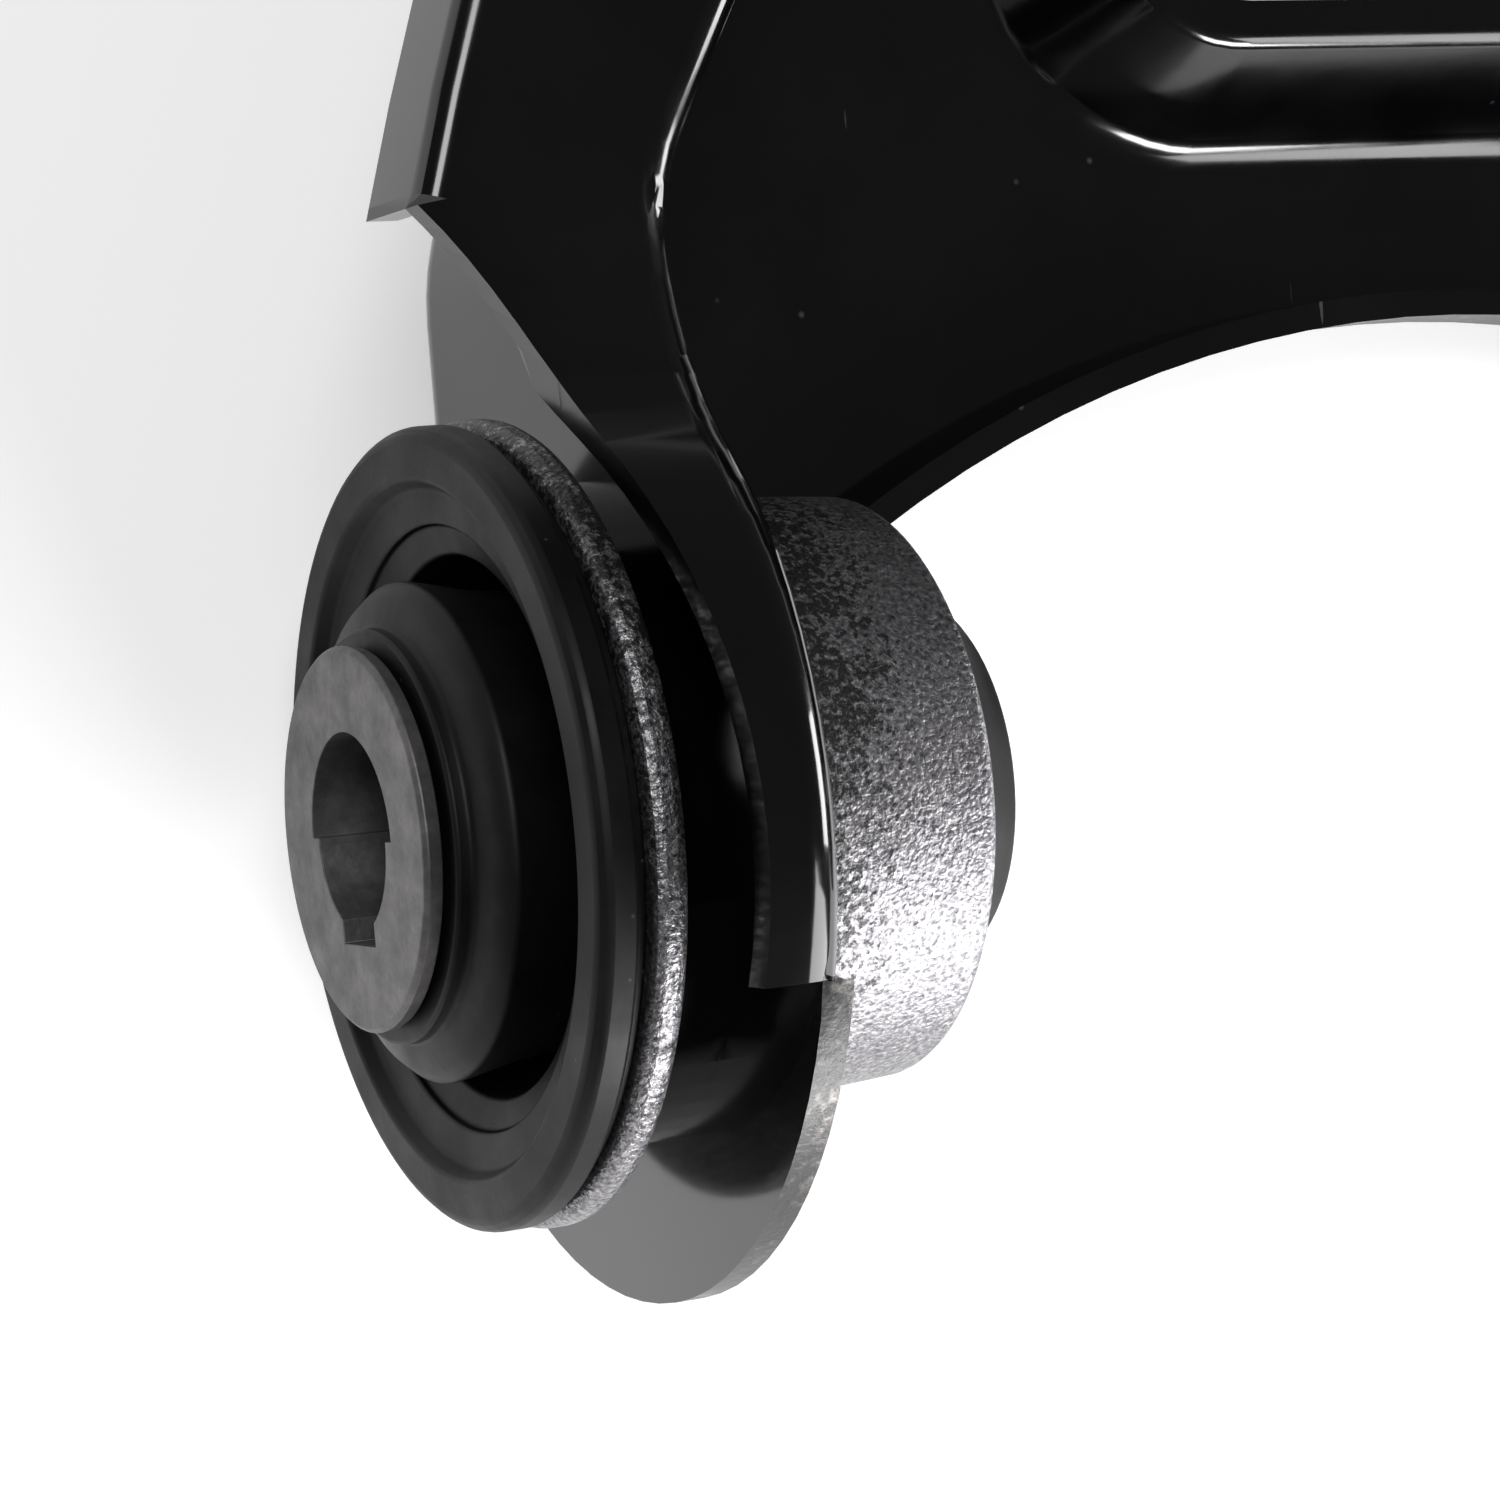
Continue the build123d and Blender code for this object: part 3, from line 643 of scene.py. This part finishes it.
# Manganese phosphate is dark grey to the eye, with fine crystals and a slight oily sheen.
phosphate_tones = ("#1d1d1f", "#2b2b2d", "#3c3c3e")
phosphate = steel_material("manganese_phosphated_steel", phosphate_tones, 0.6 * mm, 0.5, 0.45)
for node in ("ball_housing", "housing_cap"):
    finished_piece(merged_mesh(node), node, "arm", turned_rounding, [phosphate])

# ---- Bearing seat ----
# An injection-moulded acetal cup that carries the ball inside the housing.
# The housing's cap holds it in.
acetal_cloud_width = 5.0 * mm
# Moulded acetal is off-white and slightly waxy to the eye, because light enters it a little.
acetal, tree, place, output = new_material("moulded_acetal")
cloud = add_node(
    tree, "ShaderNodeTexNoise", {"Vector": place, "Scale": 1 / acetal_cloud_width, "Detail": 3.0}
)
tone = add_node(
    tree, "ShaderNodeValToRGB", {"Fac": cloud.outputs["Fac"]}, stops=[(0.3, "#d8d4c8"), (0.7, "#e6e3da")]
)
skin = add_node(
    tree,
    "ShaderNodeBsdfPrincipled",
    {
        "Base Color": tone.outputs["Color"],
        "Roughness": 0.4,
        "Subsurface Weight": 0.1,
        "Subsurface Scale": 1 * mm,
    },
)
tree.links.new(skin.outputs["BSDF"], output.inputs["Surface"])
finished_piece(merged_mesh("bearing_seat"), "bearing_seat", "arm", turned_rounding, [acetal])

# ---- Ball stud ----
# Cold-headed alloy steel, with a ground ball and taper and a rolled metric thread above them.
# The ball turns in the bearing seat, and the castle nut draws the taper into the part that it carries.
tilt_joint = next(joint for joint in frame["joints"] if joint["name"] == "stud_tilt")
joint_centre = np.array(tilt_joint["pos_m"])
ball_radius = 12.5 * mm
neck_radius = 6.0 * mm
taper_radii = (8.2 * mm, 7.1 * mm)
taper_heights = (29.0 * mm, 45.0 * mm)
thread_radius = 6.0 * mm
thread_pitch = 1.75 * mm
thread_depth = 0.9 * mm
thread_run_in = 1.5 * mm
thread_run_out = 1.2 * mm
neck_below_taper = 5.0 * mm
collar_below_taper = 2.5 * mm
step_height = 0.2 * mm
tip_chamfer = 1.0 * mm
stud_top = 68.0 * mm


def revolved(name, profile, turns=72, close_profile=False, radius_change=None):
    """Surface of revolution: each profile point (radius, height) goes round the stud's axis in even steps.

    radius_change, where given, adds a depth to each radius from its angle and height, as a thread needs.
    """
    around = np.linspace(0, 2 * np.pi, turns, endpoint=False)
    radius, angle = np.meshgrid(profile[:, 0], around, indexing="ij")
    height = np.repeat(profile[:, 1:2], turns, axis=1)
    if radius_change is not None:
        radius = radius + radius_change(angle, height)
    grid = np.stack([radius * np.cos(angle), radius * np.sin(angle), height], axis=-1) + joint_centre
    rows = len(profile)
    row = np.arange(rows if close_profile else rows - 1)[:, None]
    column = np.arange(turns)[None, :]
    upper, beside = (row + 1) % rows, (column + 1) % turns
    corners = [row * turns + column, row * turns + beside, upper * turns + beside, upper * turns + column]
    faces = np.stack(np.broadcast_arrays(*corners), axis=-1).reshape(-1, 4)
    mesh = bpy.data.meshes.new(name)
    mesh.from_pydata(grid.reshape(-1, 3).tolist(), [], faces.tolist())
    work = bmesh.new()
    work.from_mesh(mesh)
    bmesh.ops.remove_doubles(work, verts=work.verts, dist=weld_distance)
    bmesh.ops.recalc_face_normals(work, faces=work.faces)
    work.to_mesh(mesh)
    work.free()
    return mesh


def rolled_thread(angle, height):
    """Triangular thread with flattened crests and roots, as deep as a point is far from the helix.

    It fades in and out over about one pitch at its ends.
    """
    start, stop = taper_heights[1] + thread_run_in, stud_top - thread_run_out
    phase = (height / thread_pitch - angle / (2 * np.pi)) % 1.0
    groove = 1 - np.abs(2 * phase - 1)
    fade_in = np.clip((height - start) / thread_pitch, 0, 1)
    fade_out = np.clip((stop - height) / (0.6 * thread_pitch), 0, 1)
    return -thread_depth * np.clip(groove * 1.25 - 0.15, 0, 1) * (fade_in * fade_out)


ball_arc = np.linspace(-np.pi / 2, math.acos(neck_radius / ball_radius), 28)
ball_rows = np.stack([ball_radius * np.cos(ball_arc), ball_radius * np.sin(ball_arc)], axis=1)
neck_rows = np.array(
    [
        (neck_radius, taper_heights[0] - neck_below_taper),
        (taper_radii[0], taper_heights[0] - collar_below_taper),
        (taper_radii[0], taper_heights[0]),
        (taper_radii[1], taper_heights[1] - step_height),
        (thread_radius, taper_heights[1]),
    ]
)
thread_heights = np.linspace(taper_heights[1] + step_height, stud_top - tip_chamfer, 150)
thread_rows = np.stack([np.full_like(thread_heights, thread_radius), thread_heights], axis=1)
tip_rows = np.array([(thread_radius - tip_chamfer, stud_top), (0.0, stud_top)])
stud_profile = np.concatenate([ball_rows, neck_rows, thread_rows, tip_rows])
# Ground steel is bright to the eye, with tight, clear reflections.
ground_steel = steel_material("ground_alloy_steel", ("#8f9091", "#b3b4b5", "#cfd0d1"), 0.5 * mm, 0.26, 1.0)
stud_mesh = revolved("ball_stud", stud_profile, radius_change=rolled_thread)
finished_piece(stud_mesh, "ball_stud", "stud", 0, [ground_steel])

# ---- Dust boot ----
# Moulded chloroprene bellows. Its bead sits in the housing's groove under a clip, and its neck grips the stud
# under a wire ring.
boot_dust_width = mm / 0.09
boot_grain = 1.0 * mm
# the wall's section as (radius, height above the ball's centre): up the outside, then down the inside
boot_control = np.array(
    [
        (18.6, 6.7), (18.75, 8.2), (18.8, 9.3), (20.6, 9.6), (22.4, 11.2), (23.0, 13.4),
        (22.3, 15.6), (19.6, 17.6), (16.6, 18.0), (15.0, 17.6), (13.9, 18.2), (13.6, 20.0),
        (12.6, 21.8), (11.0, 22.8), (10.1, 24.0), (10.0, 25.8), (9.9, 27.4), (9.75, 28.4),
        (8.9, 28.5), (8.3, 28.2), (8.3, 26.0), (8.4, 23.6), (9.4, 21.4), (11.2, 20.2),
        (11.9, 18.4), (13.0, 16.4), (15.2, 15.8), (18.0, 15.9), (20.4, 14.6), (21.1, 13.0),
        (20.2, 11.3), (18.9, 10.6), (17.6, 9.9), (17.0, 9.2), (17.0, 7.8), (17.4, 6.7),
    ]
) * mm


def smooth_loop(control, steps):
    """A uniform cubic B-spline round a closed loop of points, each span cut into even steps."""
    t = np.linspace(0, 1, steps, endpoint=False)
    basis = np.stack(
        [(1 - t) ** 3, 3 * t**3 - 6 * t**2 + 4, -3 * t**3 + 3 * t**2 + 3 * t + 1, t**3], axis=1
    ) / 6
    spans = np.stack([np.roll(control, -shift, axis=0) for shift in range(4)], axis=1)
    return np.einsum("tk,skc->stc", basis, spans).reshape(-1, 2)


# Moulded chloroprene is a dull black to the eye, a little paler where dust lies on it.
boot_rubber, tree, place, output = new_material("moulded_chloroprene")
dust = add_node(tree, "ShaderNodeTexNoise", {"Vector": place, "Scale": 1 / boot_dust_width, "Detail": 5.0})
tone = add_node(
    tree, "ShaderNodeValToRGB", {"Fac": dust.outputs["Fac"]}, stops=[(0.35, "#0e0e0f"), (0.8, "#222224")]
)
fine = add_node(tree, "ShaderNodeTexNoise", {"Vector": place, "Scale": 1 / boot_grain, "Detail": 2.0})
bump = add_node(
    tree, "ShaderNodeBump", {"Strength": 0.3, "Distance": 0.04 * mm, "Height": fine.outputs["Fac"]}
)
skin = add_node(
    tree,
    "ShaderNodeBsdfPrincipled",
    {"Base Color": tone.outputs["Color"], "Roughness": 0.46, "Normal": bump.outputs["Normal"]},
)
tree.links.new(skin.outputs["BSDF"], output.inputs["Surface"])
boot_mesh = revolved("dust_boot", smooth_loop(boot_control, 4), turns=96, close_profile=True)
boot_mesh.materials.append(boot_rubber)
boot_mesh.shade_smooth()
dust_boot = bpy.data.objects.new("dust_boot_bellows", boot_mesh)
bpy.context.scene.collection.objects.link(dust_boot)
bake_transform(dust_boot)
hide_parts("dust_boot")

# ---- Boot rings ----
# Spring steel rings that hold the boot: a flat band clips its bead to the housing,
# and a round wire ring holds its neck on the stud.
clip_rounding = 0.2 * mm
# Spring steel strip and wire are bright to the eye, a shade darker than the ground stud.
spring_steel = steel_material("bright_spring_steel", ("#85868a", "#a6a7aa", "#c4c5c7"), 0.4 * mm, 0.3, 1.0)
clip_mesh = merged_mesh("boot_base_clip")
ring_mesh = merged_mesh("boot_neck_ring")
finished_piece(clip_mesh, "boot_base_clip", "arm", clip_rounding, [spring_steel])
finished_piece(ring_mesh, "boot_neck_ring", "boot_neck", 0, [spring_steel])

# ---- Castle nut, cotter pin and mounting fasteners ----
# The nut and pin on the stud, and the four bolts, lock washers and nuts that hold the ball joint to the arm.
# They are cold-formed steel, zinc plated and passivated.
fastener_rounding = 0.35 * mm
nut_rounding = fastener_rounding * 0.6
# Zinc plate is a pale bluish grey to the eye, with a soft shine and a faint warm cast in places.
zinc = steel_material("zinc_plated_steel", ("#8d8f92", "#aeb0b1", "#c9c8bf"), 0.8 * mm, 0.34, 0.95)
for node in ("castle_nut", "cotter_pin"):
    finished_piece(merged_mesh(node), node, "stud", nut_rounding, [zinc])
for node in ("mounting_bolts", "lock_washers", "mounting_nuts"):
    finished_piece(merged_mesh(node), node, "arm", fastener_rounding, [zinc])

# ---- Floor and studio ----
# A white table under the arm, with soft lamps round it: three low ones that draw highlights on the bends,
# and one overhead. The walls of the studio add a faint even light.
half_floor = 6.0
floor_gap = 0.2 * mm
floor_lift = 0.40
wall_light = 0.10
floor_z = cad_box[0][2] - floor_gap
floor_mesh = bpy.data.meshes.new("white_table")
corners = np.array([[-1, -1, 0], [1, -1, 0], [1, 1, 0], [-1, 1, 0]]) * half_floor
floor_mesh.from_pydata((corners + [0, 0, floor_z]).tolist(), [], [(0, 1, 2, 3)])
floor = bpy.data.objects.new("white_table", floor_mesh)
bpy.context.scene.collection.objects.link(floor)
# Matt white board. A glow that only the camera, gloss and glass see lifts it to white and lights nothing.
table_white, tree, _, output = new_material("white_table_top")
matt = add_node(tree, "ShaderNodeBsdfDiffuse", {"Color": linear("#e8e8e8")})
rays = add_node(tree, "ShaderNodeLightPath")
seen = add_node(
    tree,
    "ShaderNodeMath",
    {0: rays.outputs["Is Camera Ray"], 1: rays.outputs["Is Glossy Ray"]},
    operation="MAXIMUM",
)
seen = add_node(
    tree, "ShaderNodeMath", {0: seen.outputs[0], 1: rays.outputs["Is Transmission Ray"]}, operation="MAXIMUM"
)
lift_amount = add_node(tree, "ShaderNodeMath", {0: seen.outputs[0], 1: floor_lift}, operation="MULTIPLY")
lift = add_node(tree, "ShaderNodeEmission", {"Color": linear("#ffffff"), "Strength": lift_amount.outputs[0]})
both = add_node(tree, "ShaderNodeAddShader", {0: matt.outputs[0], 1: lift.outputs[0]})
tree.links.new(both.outputs[0], output.inputs["Surface"])
floor_mesh.materials.append(table_white)


def soft_lamp(name, place, aim, size, watts):
    """A rectangular softbox at a place, turned to face a point."""
    data = bpy.data.lights.new(name, "AREA")
    data.shape = "RECTANGLE"
    data.size, data.size_y = size
    data.energy = watts
    lamp = bpy.data.objects.new(name, data)
    bpy.context.scene.collection.objects.link(lamp)
    lamp.location = place
    lamp.rotation_euler = (Vector(aim) - Vector(place)).to_track_quat("-Z", "Y").to_euler()


bush_aim = (0.03, 0.02, 0.0)
soft_lamp("softbox_low_front", (0.50, -0.95, 0.42), bush_aim, (0.55, 0.28), 13.0)
soft_lamp("softbox_low_right", (1.15, 0.05, 0.20), bush_aim, (0.35, 0.30), 4.0)
soft_lamp("softbox_tall_right", (0.88, -0.52, 0.46), bush_aim, (0.50, 0.75), 9.0)
soft_lamp("softbox_over", (-0.50, 0.55, 1.20), (0.08, 0.08, 0.0), (0.7, 0.5), 11.0)

world = bpy.data.worlds.new("studio_walls")
bpy.context.scene.world = world
world.use_nodes = True
walls = world.node_tree.nodes["Background"]
walls.inputs["Color"].default_value = linear("#ffffff")
walls.inputs["Strength"].default_value = wall_light
bpy.context.scene.view_settings.view_transform = "Standard"

# ---- Camera ----
# A long lens close over the front bush, looking down and across the arm.
# Only the bush end of the arm is in its view.
camera_place = Vector((-141.7, 17.8, 304.9)) * mm
camera_right = Vector((0.892, -0.081, 0.445)).normalized()
camera_up = Vector((0.091, 0.996, 0.0))
camera_up = (camera_up - camera_up.dot(camera_right) * camera_right).normalized()
camera_back = camera_right.cross(camera_up)
camera_data = bpy.data.cameras.new("camera")
camera_data.lens = 96.0
camera_data.sensor_width = 36.0
camera_data.clip_start = 0.01
camera = bpy.data.objects.new("camera", camera_data)
bpy.context.scene.collection.objects.link(camera)
turn = Matrix((camera_right, camera_up, camera_back)).transposed().to_4x4()
camera.matrix_world = Matrix.Translation(camera_place) @ turn
bpy.context.scene.camera = camera
